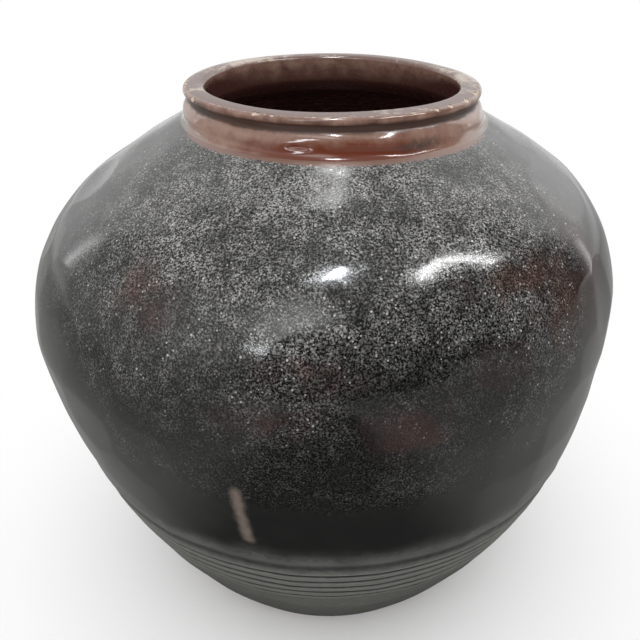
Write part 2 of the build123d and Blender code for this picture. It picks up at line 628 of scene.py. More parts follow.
    def height(self, along: np.ndarray, angle: np.ndarray) -> np.ndarray:
        """All of the relief together, each kind on its own stretch of the path.

        Args:
            along: Distances along the path, in rows.
            angle: Angles round the jar, in columns.

        Returns:
            The height at every place.
        """
        path = self.outline
        total = np.zeros(np.broadcast_shapes(along.shape, angle.shape))
        if along.min() < self.wall_end + self.overlap:
            on_wall = smooth_step(self.wall_start, self.wall_start + self.foot_fade, along)
            on_wall = on_wall * (1 - smooth_step(self.wall_end - self.neck_fade, self.wall_end, along))
            total -= on_wall * self.dented(along, angle, self.paddle_marks + list(self.dents))
            total += self.combed(along, angle)
        if along.max() > self.wall_end - self.overlap and along.min() < path.ends["ease"] + self.overlap:
            total += self.pressed_neck(along, angle)
            total -= self.chip_shape(along, angle)[1]
            total -= self.lip_wear * bell(along - path.ends["lip_high"], self.lip_wear_spread)
        low, high = path.ends["inner_lower"], path.starts["throat"]
        inside = smooth_step(high, high + self.ring_fade, along)
        inside = inside * (1 - smooth_step(low - self.ring_fade, low, along))
        rings = np.sin(2 * pi * along / self.ring_pitch + np.radians(angle))
        return total + inside * self.ring_depth * rings


@dataclass(frozen=True)
class Patch:
    """A soft round patch of another colour on the wall, in degrees and millimetres."""

    angle: float
    height: float
    half_width: float
    half_height: float
    strength: float = 1.0

    def weight(self, radius: np.ndarray, height: np.ndarray, angle: np.ndarray) -> np.ndarray:
        """Its strength in the middle, half of it at the edge, and 0 at twice the size.

        Args:
            radius: The places' radii.
            height: Their heights.
            angle: Their angles round the jar.

        Returns:
            The patch's weight at every place.
        """
        across = np.radians(angle_between(angle, self.angle)) * radius / self.half_width
        q = np.sqrt(across**2 + ((height - self.height) / self.half_height) ** 2)
        return self.strength * np.clip(1 - q / 2, 0, 1)


@dataclass
class Marks:
    """Where each colour of the glaze lies, as a weight at every vertex.

    A weight runs from 0 to 1, except the comb's, which is its relief in millimetres.
    """

    outline: Outline
    relief: Relief
    grain_low: float = 210.0
    grain_high: float = 326.0
    grain_rise: float = 12.0
    grain_turn: Point = (28.0, 62.0)
    dust_heights: Point = (172.0, 200.0)
    dust_share: float = 0.11
    # A broad spot to the right of the front where the grain is dimmed as painted shade.
    front_shade: Spot = Spot(20, 262, 24, 25)
    front_shade_share: float = 0.48
    side_angle: float = 72.0
    side_spread: float = 18.0
    side_share: float = 0.8
    foot_heights: Point = (108.0, 155.0)
    streak_angle: float = -13.3
    streak_height: float = 172.0
    streak_half_length: float = 27.0
    streak_half_width: float = 2.7
    streak_end_shares: Point = (0.75, 1.05)
    neck_line: float = 345.0
    neck_softness: float = 1.5
    neck_turn: Point = (40.0, 78.0)
    neck_side_share: float = 0.8
    neck_fade: float = 7.0
    # Pooled glaze and painted shade: darker in the groove, and less so on the lip below its worn top and
    # inside the mouth.
    pool_and_shade_spread: float = 2.3
    lip_pool_and_shade_share: float = 0.34
    red: Spot = Spot(3, 348, 26, 6)
    red_share: float = 0.75
    red_all_over_share: float = 0.2
    red_lip_share: float = 0.15
    wear_past_lip: float = 2.0
    wear_past_ease: float = 5.0
    edge_spread: float = 0.8
    # Painted shade down the mouth's wall, over the darker glaze inside: it takes over within fewer
    # millimetres in front than at the back.
    deep_front: float = 5.0
    deep_back: float = 18.0
    deep_turn: Point = (100.0, 150.0)
    rust_patches: tuple[Patch, ...] = (
        Patch(-34.5, 291, 14, 12, 0.75),
        Patch(-30, 282, 13, 10, 0.7),
        Patch(47, 280, 30, 18, 0.9),
        Patch(57, 284, 20, 26),
        Patch(38, 297, 34, 8, 0.8),
        Patch(13, 236, 20, 12),
        Patch(-8, 244, 26, 10, 0.6),
        Patch(-3, 268, 34, 9, 0.5),
        Patch(28, 258, 30, 14, 0.5),
        Patch(56, 258, 16, 20, 0.8),
        Patch(130, 250, 30, 24, 0.8),
        Patch(-120, 285, 26, 20, 0.8),
        Patch(175, 300, 26, 20, 0.8),
    )
    crust_patches: tuple[Patch, ...] = (
        Patch(-57, 364, 12, 7),
        Patch(29.5, 351.5, 21, 4.5),
        Patch(118, 360, 10, 4),
    )
    # Paler patches on the rim's top: partly worn glaze, partly painted highlight.
    pale_patches: tuple[Patch, ...] = (
        Patch(-135, 369, 46, 12, 0.8),
        Patch(-70, 369, 14, 12, 0.6),
        Patch(22, 369, 26, 12, 0.5),
        Patch(100, 369, 50, 12, 0.7),
    )

    def patched(self, place: tuple[np.ndarray, ...], patches: tuple[Patch, ...]) -> np.ndarray:
        """The larger weight of several patches, for a place's radius, height and angle."""
        return np.maximum.reduce([patch.weight(*place) for patch in patches])

    def on_wall(self, along: np.ndarray, place: tuple[np.ndarray, ...]) -> dict[str, np.ndarray]:
        """The weights of the wall's colours.

        The grain grows thicker up the wall, starts higher at the sides than in front, and is thin down both
        sides.
        In one broad place to the right of the front it is dimmed as painted shade. A dust of it reaches
        lower.

        Args:
            along: Distances along the path.
            place: The radius, the height and the angle of every place.

        Returns:
            The weights by name.
        """
        radius, height, angle = place
        away = np.abs(angle_between(angle, 0))
        rise = self.grain_rise * smooth_step(*self.grain_turn, away)
        grain = smooth_step(self.grain_low, self.grain_high, height - rise)
        dust = smooth_step(*self.dust_heights, height - 2 * rise)
        grain = self.dust_share * dust + (1 - self.dust_share) * grain
        side = bell(away - self.side_angle, self.side_spread)
        # Painted shade: the grain is dimmed in one broad spot to the right of the front.
        grain = grain * (1 - self.front_shade_share * self.front_shade.weight(angle, height))
        grain = grain * (1 - self.side_share * side)
        across = np.radians(angle_between(angle, self.streak_angle)) * radius
        past_end = np.abs(height - self.streak_height) / self.streak_half_length
        streak = bell(across, self.streak_half_width) * (1 - smooth_step(*self.streak_end_shares, past_end))
        outside = along < self.outline.ends["rim_top"]
        return {
            "grain": grain * outside,
            "foot": (1 - smooth_step(*self.foot_heights, height)) * outside,
            "comb": self.relief.combed(along, angle) * outside,
            "bare": streak * outside,
            "rust": self.patched(place, self.rust_patches) * outside,
        }

    def on_mouth(self, along: np.ndarray, place: tuple[np.ndarray, ...]) -> dict[str, np.ndarray]:
        """The weights of the neck's and the rim's colours.

        The glaze is painted darker in the groove under the lip and on the lip below its top, as pooled
        glaze and painted shade.
        It is red low in front, worn on top of the rim with paler patches that are partly wear and partly
        painted highlight, and fades into the wall's colour round the sides.

        Args:
            along: Distances along the path.
            place: The radius, the height and the angle of every place.

        Returns:
            The weights by name.
        """
        path = self.outline
        _, height, angle = place
        away = np.abs(angle_between(angle, 0))
        side = smooth_step(*self.neck_turn, away)
        low, high = self.neck_line - self.neck_softness, self.neck_line + self.neck_softness
        fade = side * (1 - smooth_step(self.neck_line, self.neck_line + self.neck_fade, height))
        lip = smooth_step(path.starts["lip_under"], path.ends["lip_under"], along)
        wear = smooth_step(path.starts["lip_high"], path.ends["lip_high"] + self.wear_past_lip, along)
        wear_end = path.ends["ease"] + self.wear_past_ease
        wear = wear * (1 - smooth_step(path.ends["rim_top"], wear_end, along))
        groove = (path.starts["groove"] + path.ends["groove"]) / 2
        # Pooled glaze and painted shade: a bell in the groove, plus a share on the lip below its worn top
        # and inside the mouth.
        pool = bell(along - groove, self.pool_and_shade_spread) + self.lip_pool_and_shade_share * lip * (1 - wear)
        red = self.red_share * self.red.weight(angle, height) + self.red_lip_share * lip
        # Painted shade down inside the mouth, reaching full darkness sooner in front than at the back.
        deep = self.deep_front + (self.deep_back - self.deep_front) * smooth_step(*self.deep_turn, away)
        outside = along < path.ends["lip_high"]
        return {
            "neck": smooth_step(low, high, height) * (1 - self.neck_side_share * side),
            "red": red + self.red_all_over_share,
            "pool": pool,
            "fade": fade * outside,
            "wear": wear,
            "edge": bell(along - path.ends["lip_high"], self.edge_spread),
            "crust": self.patched(place, self.crust_patches) * outside,
            "pale": self.patched(place, self.pale_patches) * wear,
            "deep": smooth_step(0, 1, (along - path.starts["mouth_top"]) / deep),
            "chip": self.relief.chip_shape(along, angle)[0],
        }

    def weights(self, along: np.ndarray, angle: np.ndarray) -> dict[str, np.ndarray]:
        """All the weights on a grid.

        Args:
            along: Distances along the path, in rows.
            angle: Angles round the jar, in columns.

        Returns:
            The weights at every place, by name.
        """
        radius, height, _, _ = self.outline.at(along)
        place = (radius, height, angle)
        found = self.on_wall(along, place) | self.on_mouth(along, place)
        shape = np.broadcast_shapes(along.shape, angle.shape)
        return {name: np.broadcast_to(weight, shape) for name, weight in found.items()}


# The skin, and the pieces of clay that share it


class Face(Enum):
    """Which of a piece's materials a stretch of its surface takes, in the order of its slots."""

    OUTSIDE = 0
    INSIDE = 1
    JOINT = 2


@dataclass
class Skin:
    """The jar's whole surface: the outline turned about the axis, with its relief and its lean."""

    outline: Outline
    relief: Relief
    marks: Marks
    columns: int = 768
    probe: float = 0.15
    probe_radius: float = 100.0
    lean_left: float = 5.2
    lean_height: float = 218.0
    lean_spread_below: float = 48.0
    lean_spread_above: float = 40.0
    lean_right: float = 3.8
    lean_right_height: float = 325.0
    lean_right_spread: float = 22.0
    lean_radius: float = 60.0
    rim_heights: Point = (350.0, 366.0)
    rim_waver: tuple[Wave, ...] = (Wave(0.3, 2, 1), Wave(0.15, 5))

    def sway(self, radius: np.ndarray | float, height: np.ndarray | float) -> np.ndarray:
        """How far to the right a place lies, because the jar isn't quite round.

        The belly hangs over to the left and the shoulder a little to the right. Near the axis both
        come to nothing.

        Args:
            radius: The places' radii.
            height: Their heights.

        Returns:
            The shift at every place.
        """
        spread = np.where(height < self.lean_height, self.lean_spread_below, self.lean_spread_above)
        left = self.lean_left * bell(height - self.lean_height, spread)
        right = self.lean_right * bell(height - self.lean_right_height, self.lean_right_spread)
        return (right - left) * smooth_step(0, self.lean_radius, radius)

    def place(self, along: np.ndarray, angle: np.ndarray) -> np.ndarray:
        """The surface's points in metres.

        A point is the outline's, moved along its normal by the relief, then turned to its angle,
        swayed to the side, and lifted a little along the rim, which isn't quite level.

        Args:
            along: Distances along the path, in rows.
            angle: Angles round the jar, in columns.

        Returns:
            The points, by row and column.
        """
        radius, height, out, up = self.outline.at(along)
        proud = self.relief.height(along, angle)
        turn = np.radians(angle)
        radius = radius + proud * out
        height = height + proud * up
        height = height + smooth_step(*self.rim_heights, height) * ripple(self.rim_waver, turn)
        across = radius * np.sin(turn) + self.sway(radius, height)
        return np.stack([across, -radius * np.cos(turn), height], axis=-1) * MM

    def normals(self, along: np.ndarray, angle: np.ndarray) -> np.ndarray:
        """The surface's outward normals, from the differences across a small probe each way.

        Args:
            along: Distances along the path, in rows.
            angle: Angles round the jar, in columns.

        Returns:
            The normals, by row and column.
        """
        low = np.clip(along - self.probe, 0, self.outline.length)
        high = np.clip(along + self.probe, 0, self.outline.length)
        swing = np.degrees(self.probe / self.probe_radius)
        ahead = self.place(high, angle) - self.place(low, angle)
        around = self.place(along, angle + swing) - self.place(along, angle - swing)
        normal = np.cross(around, ahead)
        size = np.linalg.norm(normal, axis=-1, keepdims=True)
        return np.divide(normal, size, out=np.zeros_like(normal), where=size > 0)


@dataclass
class ClayPiece:
    """One piece of clay: stretches of the skin joined by straight faces into a closed ring or cap.

    Stretches are added in the order of the section, going up the outside and down the inside, and
    every face between the last of them and the first is added too.
    """

    name: str
    skin: Skin
    rows: list[np.ndarray] = field(default_factory=list)
    normals: list[np.ndarray] = field(default_factory=list)
    weights: list[dict[str, np.ndarray]] = field(default_factory=list)
    faces: list[int] = field(default_factory=list)

    @property
    def angles(self) -> np.ndarray:
        """The angles of the columns, in degrees, as one row."""
        return np.linspace(0, 360, self.skin.columns, endpoint=False)[None, :]

    def add_skin(self, start: float, end: float, spacing: float, face: Face) -> None:
        """Adds a stretch of the skin.

        Args:
            start: Where it starts, as a distance along the outline.
            end: Where it ends.
            spacing: About how far apart its rows lie.
            face: Which finish it takes.
        """
        count = max(int(np.ceil((end - start) / spacing)), 1) + 1
        along = np.linspace(start, end, count)[:, None]
        self.rows.extend(self.skin.place(along, self.angles))
        self.normals.extend(self.skin.normals(along, self.angles))
        found = self.skin.marks.weights(along, self.angles)
        self.weights.extend({name: weight[row] for name, weight in found.items()} for row in range(count))
        self.faces.extend([face.value] * (count - 1) + [Face.JOINT.value])

    def add_corner(self, radius: float, height: float) -> None:
        """Adds a corner inside the clay, where three pieces meet, as a row of its own.

        Args:
            radius: The corner's radius.
            height: Its height.
        """
        turn = np.radians(self.angles[0])
        across = radius * np.sin(turn) + self.skin.sway(radius, height)
        row = np.stack([across, -radius * np.cos(turn), np.full_like(turn, height)], axis=-1)
        self.rows.append(row * MM)
        self.normals.append(np.zeros_like(row))
        self.weights.append({name: np.zeros_like(turn) for name in self.weights[0]})
        self.faces.append(Face.JOINT.value)

    def mesh_data(self) -> tuple[np.ndarray, np.ndarray, np.ndarray, np.ndarray]:
        """Joins the rows into one grid that closes on itself both ways.

        Returns:
            The vertices, the quads between neighbouring rows and columns, the material of each row's
            quads, and the row and column grid of vertex numbers.
        """
        count, columns = len(self.rows), self.skin.columns
        grid = np.arange(count * columns).reshape(count, columns)
        after = np.roll(grid, -1, axis=1)
        above = np.roll(grid, -1, axis=0)
        above_after = np.roll(above, -1, axis=1)
        quads = np.stack([grid, after, above_after, above], axis=-1)
        return np.concatenate(self.rows), quads, np.array(self.faces), grid

    def make(self, materials: list[bpy.types.Material]) -> bpy.types.Object:
        """Makes the piece's object: its mesh, its weights, its normals and its materials.

        Args:
            materials: The finishes of the outside, the inside and the joints.

        Returns:
            The new object, at the origin.
        """
        points, quads, kinds, grid = self.mesh_data()
        capped = np.allclose(points[0, :2], 0)
        if capped:
            polygons, kinds = self.capped_faces(quads, kinds, grid)
        else:
            kinds = np.repeat(kinds, self.skin.columns)
            polygons = quads.reshape(-1, 4).tolist()
        mesh = bpy.data.meshes.new(self.name)
        mesh.from_pydata(points.tolist(), [], polygons)
        mesh.polygons.foreach_set("material_index", kinds.astype(np.int32))
        mesh.shade_smooth()
        for name in self.weights[0]:
            weight = np.concatenate([row[name] for row in self.weights])
            layer = mesh.attributes.new(name, "FLOAT", "POINT")
            layer.data.foreach_set("value", weight.astype(np.float32))
        mesh.normals_split_custom_set_from_vertices(np.concatenate(self.normals).tolist())
        for material in materials:
            mesh.materials.append(material)
        if capped:
            self.drop_loose(mesh)
        made = bpy.data.objects.new(self.name, mesh)
        bpy.context.collection.objects.link(made)
        log.info("%s: %d rows, %d faces", self.name, len(self.rows), len(polygons))
        return made

    def capped_faces(
        self, quads: np.ndarray, kinds: np.ndarray, grid: np.ndarray
    ) -> tuple[list[list[int]], np.ndarray]:
        """The faces of a piece whose first and last rows are single points on the axis.

        Args:
            quads: The grid's quads, row by row.
            kinds: The material of each row's quads.
            grid: The vertex numbers.

        Returns:
            Triangles round both ends and quads between, and the material of each.
        """
        first, last = grid[0, 0], grid[-1, 0]
        around = np.roll(grid, -1, axis=1)
        low = np.stack([np.full_like(grid[1], first), around[1], grid[1]], axis=-1)
        high = np.stack([grid[-2], around[-2], np.full_like(grid[-2], last)], axis=-1)
        polygons = low.tolist() + quads[1:-2].reshape(-1, 4).tolist() + high.tolist()
        kinds = np.concatenate([kinds[:1], kinds[1:-2], kinds[-2:-1]])
        return polygons, np.repeat(kinds, self.skin.columns)

    def drop_loose(self, mesh: bpy.types.Mesh) -> None:
        """Deletes the vertices that no face uses.

        Args:
            mesh: The mesh that is cleaned.
        """
        work = bmesh.new()
        work.from_mesh(mesh)
        loose = [vertex for vertex in work.verts if not vertex.link_faces]
        bmesh.ops.delete(work, geom=loose, context="VERTS")
        work.to_mesh(mesh)
        work.free()


# The finishes


@dataclass(frozen=True)
class Cloud:
    """Cloudy noise: its lumps per metre, how many finer layers it has and how strong they are."""

    lumps: float
    layers: float = 3.0
    strength: float = 0.55


@dataclass(frozen=True)
class Fray:
    """How a patch's edge frays: a share of a cloud is added to its weight before it fades in.

    It fades in between two limits of that sum.
    """

    cloud: Cloud
    share: float
    limits: Point


class Bench:
    """A node tree, with short words for the steps that the finishes and the room's light are mixed from."""

    def __init__(self, tree: bpy.types.NodeTree, coordinates: str) -> None:
        """Starts on a tree, with the coordinates that its patterns lie on."""
        self.tree = tree
        self.here = self.node("ShaderNodeTexCoord").outputs[coordinates]

    def node(self, kind: str, settings: dict | None = None, **inputs: object) -> bpy.types.Node:
        """Adds a node.

        Args:
            kind: The node's type name.
            settings: Its properties.
            inputs: Its sockets by name, each with a number or with another node's output.

        Returns:
            The node.
        """
        made = self.tree.nodes.new(kind)
        for name, value in (settings or {}).items():
            setattr(made, name, value)
        for name, value in inputs.items():
            self.feed(made.inputs[name.replace("_", " ")], value)
        return made

    def feed(self, socket: bpy.types.NodeSocket, value: object) -> None:
        """Gives a socket its value.

        Args:
            socket: The socket.
            value: A number, a colour, or another node's output, which is linked to it.
        """
        if isinstance(value, bpy.types.NodeSocket):
            self.tree.links.new(value, socket)
        elif isinstance(value, tuple) and len(value) == 3 and socket.type == "RGBA":
            socket.default_value = (*value, 1.0)
        else:
            socket.default_value = value

    def weight(self, name: str) -> bpy.types.NodeSocket:
        """One of the piece's own weights."""
        return self.node("ShaderNodeAttribute", {"attribute_name": name}).outputs["Fac"]

    def noise(self, cloud: Cloud) -> bpy.types.NodeSocket:
        """Cloudy noise from 0 to 1."""
        sizes = {"Scale": cloud.lumps, "Detail": cloud.layers, "Roughness": cloud.strength}
        return self.node("ShaderNodeTexNoise", Vector=self.here, **sizes).outputs["Fac"]

    def cells(self, scale: float) -> tuple[bpy.types.NodeSocket, bpy.types.NodeSocket]:
        """Scattered points: the distance to the nearest, and a colour of its own for each."""
        made = self.node("ShaderNodeTexVoronoi", Vector=self.here, Scale=scale)
        return made.outputs["Distance"], made.outputs["Color"]

    def ramp(
        self, value: object, low: object, high: object, start: object = 0.0, end: object = 1.0
    ) -> bpy.types.NodeSocket:
        """A smooth ramp. Each argument is a number or another node's output.

        Args:
            value: What the ramp follows.
            low: The value at which it starts.
            high: The value at which it ends.
            start: The result below the low value.
            end: The result above the high value.

        Returns:
            The result.
        """
        made = self.node("ShaderNodeMapRange", {"interpolation_type": "SMOOTHSTEP"}, Value=value)
        for name, limit in (("From Min", low), ("From Max", high), ("To Min", start), ("To Max", end)):
            self.feed(made.inputs[name], limit)
        return made.outputs["Result"]

    def sum(self, kind: str, *values: object) -> bpy.types.NodeSocket:
        """A sum of one, two or three values.

        Args:
            kind: What is worked out, as the Math node names it.
            values: Numbers or other nodes' outputs.

        Returns:
            The result.
        """
        made = self.node("ShaderNodeMath", {"operation": kind})
        for socket, value in zip(made.inputs, values):
            self.feed(socket, value)
        return made.outputs["Value"]

    def mix(self, share: object, under: object, over: object) -> bpy.types.NodeSocket:
        """Lays a colour over another.

        Args:
            share: How much of the upper one shows, from 0 to 1.
            under: The lower colour.
            over: The upper colour.

        Returns:
            The mixed colour.
        """
        made = self.node("ShaderNodeMix", {"data_type": "RGBA"})
        colours = [socket for socket in made.inputs if socket.type == "RGBA"]
        for socket, value in zip((made.inputs[0], *colours), (share, under, over)):
            self.feed(socket, value)
        return next(socket for socket in made.outputs if socket.type == "RGBA")

    def lay(self, colour: object, *layers: tuple[object, object]) -> bpy.types.NodeSocket:
        """Lays colours over a first one in their order.

        Args:
            colour: The colour at the bottom.
            layers: The share and the colour of each layer.

        Returns:
            The mixed colour.
        """
        for share, over in layers:
            colour = self.mix(share, colour, over)
        return colour

    def frayed(self, name: str, fray: Fray) -> bpy.types.NodeSocket:
        """One of the piece's own weights, with its edge frayed."""
        whole = self.sum("MULTIPLY_ADD", self.noise(fray.cloud), fray.share, self.weight(name))
        return self.ramp(whole, *fray.limits)

    def red_of(self, colour: bpy.types.NodeSocket) -> bpy.types.NodeSocket:
        """The red part of a colour, as a number."""
        return self.node("ShaderNodeSeparateColor", Color=colour).outputs["Red"]

    def ray(self, kind: str) -> bpy.types.NodeSocket:
        """Whether the ray that looks is of a kind, as 1 or 0."""
        return self.node("ShaderNodeLightPath").outputs[kind]


class Recipe(Bench):
    """A material that a finish is mixed in."""

    def __init__(self, name: str) -> None:
        """Starts a material with its shader, on the object's own coordinates.

        Args:
            name: The material's name.
        """
        self.material = bpy.data.materials.new(name)
        self.material.use_nodes = True
        super().__init__(self.material.node_tree, "Object")
        self.shader = self.tree.nodes["Principled BSDF"]

    def dress(self, colour: object, roughness: object, height: object, relief: float) -> bpy.types.Material:
        """Gives the shader its colour, its roughness and a fine relief.

        Args:
            colour: The base colour.
            roughness: The roughness.
            height: The relief's height, from 0 to 1.
            relief: How high 1 stands, in metres.

        Returns:
            The finished material.
        """
        self.feed(self.shader.inputs["Base Color"], colour)
        self.feed(self.shader.inputs["Roughness"], roughness)
        bump = self.node("ShaderNodeBump", Height=height, Distance=relief, Strength=1.0)
        self.feed(self.shader.inputs["Normal"], bump.outputs["Normal"])
        return self.material


@dataclass(frozen=True)
class WallGlaze:
    """Charcoal glaze full of pale grains, thinning to a dark satin and a grey-green foot."""

    dark: Colour = (0.004, 0.004, 0.0039)
    grain: Colour = (0.36, 0.355, 0.338)
    rusty_grain: Colour = (0.20, 0.135, 0.115)
    fleck: Colour = (0.50, 0.48, 0.44)
    satin: Colour = (0.011, 0.011, 0.0107)
    rust: Colour = (0.018, 0.009, 0.007)
    # The comb's furrows are painted dark and its ridges lighter: partly glaze pooled in the furrows, partly
    # painted shade.
    foot: Colour = (0.165, 0.168, 0.149)
    furrow: Colour = (0.018, 0.019, 0.017)
    bare: Colour = (0.15, 0.12, 0.10)
    neck: Colour = (0.20, 0.115, 0.09)
    clouds: tuple[Cloud, ...] = (Cloud(17.0, 6.0, 0.65), Cloud(90.0, 5.0, 0.7))
    cloud_limits: Point = (0.34, 0.66)
    cloud_shares: Point = (0.5, 1.5)
    grains: Cloud = Cloud(900.0, 2.0, 0.7)
    grain_limits: Point = (0.40, 0.74)
    flecks_per_metre: Point = (520.0, 390.0)
    fleck_choice: Point = (0.88, 0.99)
    fleck_cover: Point = (0.0, 0.5)
    fleck_edge: Point = (0.34, 0.12)
    full_cover: Point = (0.0, 0.1)
    rust_fray: Fray = Fray(Cloud(75.0, 6.0, 0.7), 1.6, (0.98, 1.6))
    foot_fray: Fray = Fray(Cloud(45.0, 5.0, 0.65), 0.5, (0.25, 1.25))
    comb_fray: Fray = Fray(Cloud(240.0, 4.0, 0.65), 0.5, (-0.3, 0.6))
    bare_fray: Fray = Fray(Cloud(170.0, 5.0, 0.7), 0.9, (0.5, 1.6))
    neck_fray: Fray = Fray(Cloud(220.0), 0.6, (0.6, 1.0))
    refraction: float = 1.45
    glossy: float = 0.12
    satin_roughness: float = 0.2
    foot_roughness: float = 0.45
    orange_peel: Cloud = Cloud(420.0)
    grain_height_share: float = 0.8
    peel_height_share: float = 0.6
    relief: float = 0.00004

    def flecks(self, r: Recipe, thick: bpy.types.NodeSocket) -> bpy.types.NodeSocket:
        """The bright round flecks, of two sizes.

        Args:
            r: The recipe.
            thick: How thick the grains lie.

        Returns:
            The flecks' share.
        """
        flecks = 0.0
        for count in self.flecks_per_metre:
            distance, own = r.cells(count)
            chosen = r.ramp(r.red_of(own), *self.fleck_choice)
            chosen = r.sum("MULTIPLY", chosen, r.ramp(thick, *self.fleck_cover))
            round_fleck = r.sum("MULTIPLY", r.ramp(distance, *self.fleck_edge), chosen)
            flecks = r.sum("MAXIMUM", flecks, round_fleck)
        return flecks

    def make(self) -> bpy.types.Material:
        """Mixes the finish.

        Returns:
            The finished material.
        """
        r = Recipe("wall_glaze")
        r.shader.inputs["IOR"].default_value = self.refraction
        thick = r.weight("grain")
        for cloud in self.clouds:
            thick = r.sum("MULTIPLY", thick, r.ramp(r.noise(cloud), *self.cloud_limits, *self.cloud_shares))
        grain = r.sum("MULTIPLY", r.ramp(r.noise(self.grains), *self.grain_limits), thick)
        cover = r.ramp(thick, *self.full_cover)
        rust = r.frayed("rust", self.rust_fray)
        foot = r.frayed("foot", self.foot_fray)
        colour = r.lay(
            self.satin,
            (cover, r.mix(rust, self.dark, self.rust)),
            (grain, r.mix(rust, self.grain, self.rusty_grain)),
            (self.flecks(r, thick), self.fleck),
            # Comb lines: darker in the furrows and lighter on the ridges, partly pooled glaze and partly
            # painted shade.
            (foot, r.mix(r.frayed("comb", self.comb_fray), self.furrow, self.foot)),
            (r.frayed("bare", self.bare_fray), self.bare),
            (r.frayed("neck", self.neck_fray), self.neck),
        )
        rough = r.ramp(cover, 0.0, 1.0, self.satin_roughness, self.glossy)
        rough = r.ramp(foot, 0.0, 1.0, rough, self.foot_roughness)
        peel = r.sum("MULTIPLY", r.noise(self.orange_peel), self.peel_height_share)
        height = r.sum("MULTIPLY_ADD", grain, self.grain_height_share, peel)
        return r.dress(colour, rough, height, self.relief)


@dataclass(frozen=True)
class NeckGlaze:
    """Glossy red-brown glaze, worn along the top of the rim with paler patches there that are partly wear
    and partly painted highlight, with pooled glaze and painted shade in the groove, cream chips and dark
    crust.
    """

    brown: Colour = (0.295, 0.188, 0.148)
    red: Colour = (0.135, 0.034, 0.017)
    # Pooled glaze and painted shade, for the groove and the lip below its top.
    pool: Colour = (0.065, 0.028, 0.018)
    worn: Colour = (0.16, 0.10, 0.086)
    # Paler patches on the rim's top: partly worn glaze, partly painted highlight.
    pale: Colour = (0.50, 0.41, 0.34)
    cream: Colour = (0.60, 0.48, 0.38)
    crust: Colour = (0.045, 0.032, 0.025)
    # Painted shade down inside the mouth, darker than the inside glaze itself.
    inner: Colour = (0.065, 0.026, 0.021)
    foot: Colour = (0.10, 0.10, 0.09)
    fine: Cloud = Cloud(420.0, 4.0, 0.7)
    red_fray: Fray = Fray(Cloud(90.0, 5.0, 0.65), 0.8, (0.55, 1.15))
    pool_and_shade_fray: Fray = Fray(Cloud(90.0, 5.0, 0.65), 0.9, (0.62, 1.15))
    worn_fray: Fray = Fray(fine, 0.7, (0.55, 1.3))
    pale_fray: Fray = Fray(Cloud(110.0, 7.0, 0.8), 2.4, (1.55, 2.0))
    crust_fray: Fray = Fray(fine, 1.3, (1.05, 1.85))
    edge_fray: Fray = Fray(Cloud(260.0, 4.0, 0.7), 0.9, (1.32, 1.6))
    chip_fray: Fray = Fray(Cloud(900.0, 3.0, 0.7), 0.5, (0.42, 0.52))
    glossy: float = 0.13
    crust_roughness: float = 0.45
    chip_roughness: float = 0.75
    orange_peel: Cloud = Cloud(150.0)
    relief: float = 0.00012

    def make(self) -> bpy.types.Material:
        """Mixes the finish.

        Returns:
            The finished material.
        """
        r = Recipe("neck_glaze")
        # Pooled glaze and painted shade in the groove and under the lip.
        pool = r.frayed("pool", self.pool_and_shade_fray)
        worn = r.frayed("wear", self.worn_fray)
        crust = r.frayed("crust", self.crust_fray)
        chip = r.sum("MAXIMUM", r.frayed("chip", self.chip_fray), r.frayed("edge", self.edge_fray))
        colour = r.lay(
            self.brown,
            (r.frayed("red", self.red_fray), self.red),
            (pool, self.pool),
            (worn, self.worn),
            # Paler patches on the worn top: partly wear, partly painted highlight.
            (r.sum("MULTIPLY", r.frayed("pale", self.pale_fray), worn), self.pale),
            (crust, self.crust),
            (r.weight("fade"), self.foot),
            # Painted shade down inside the mouth.
            (r.weight("deep"), self.inner),
            (chip, self.cream),
        )
        rough = r.ramp(r.sum("MAXIMUM", crust, pool), 0.0, 1.0, self.glossy, self.crust_roughness)
        rough = r.ramp(chip, 0.0, 1.0, rough, self.chip_roughness)
        height = r.sum("MULTIPLY_ADD", crust, r.noise(self.fine), r.noise(self.orange_peel))
        return r.dress(colour, rough, height, self.relief)


@dataclass(frozen=True)
class InsideGlaze:
    """Dark brown glaze inside the pot."""

    brown: Colour = (0.15, 0.066, 0.058)
    red: Colour = (0.22, 0.10, 0.085)
    cloud: Cloud = Cloud(30.0, 5.0, 0.6)
    red_limits: Point = (0.35, 0.7)
    rough_limits: Point = (0.3, 0.7)
    roughness: Point = (0.22, 0.32)
    orange_peel: Cloud = Cloud(300.0)
    relief: float = 0.0001

    def make(self) -> bpy.types.Material:
        """Mixes the finish.

        Returns:
            The finished material.
        """
        r = Recipe("inside_glaze")
        cloud = r.noise(self.cloud)
        colour = r.mix(r.ramp(cloud, *self.red_limits), self.brown, self.red)
        rough = r.ramp(cloud, *self.rough_limits, *self.roughness)
        return r.dress(colour, rough, r.noise(self.orange_peel), self.relief)


@dataclass(frozen=True)
class BareClay:
    """Fired clay with no glaze: brown-grey, matte and sandy."""

    clay: Colour = (0.16, 0.125, 0.10)
    scorched: Colour = (0.06, 0.05, 0.045)
    scorch: Cloud = Cloud(40.0, 5.0)
    scorch_limits: Point = (0.35, 0.7)
    sand: Cloud = Cloud(900.0, 3.0, 0.7)
    roughness: float = 0.85
    relief: float = 0.0002

    def make(self) -> bpy.types.Material:
        """Mixes the finish.

        Returns:
            The finished material.
        """
        r = Recipe("bare_clay")
        scorch = r.ramp(r.noise(self.scorch), *self.scorch_limits)
        colour = r.mix(scorch, self.clay, self.scorched)
        return r.dress(colour, self.roughness, r.noise(self.sand), self.relief)


# The jar's three sub-assemblies


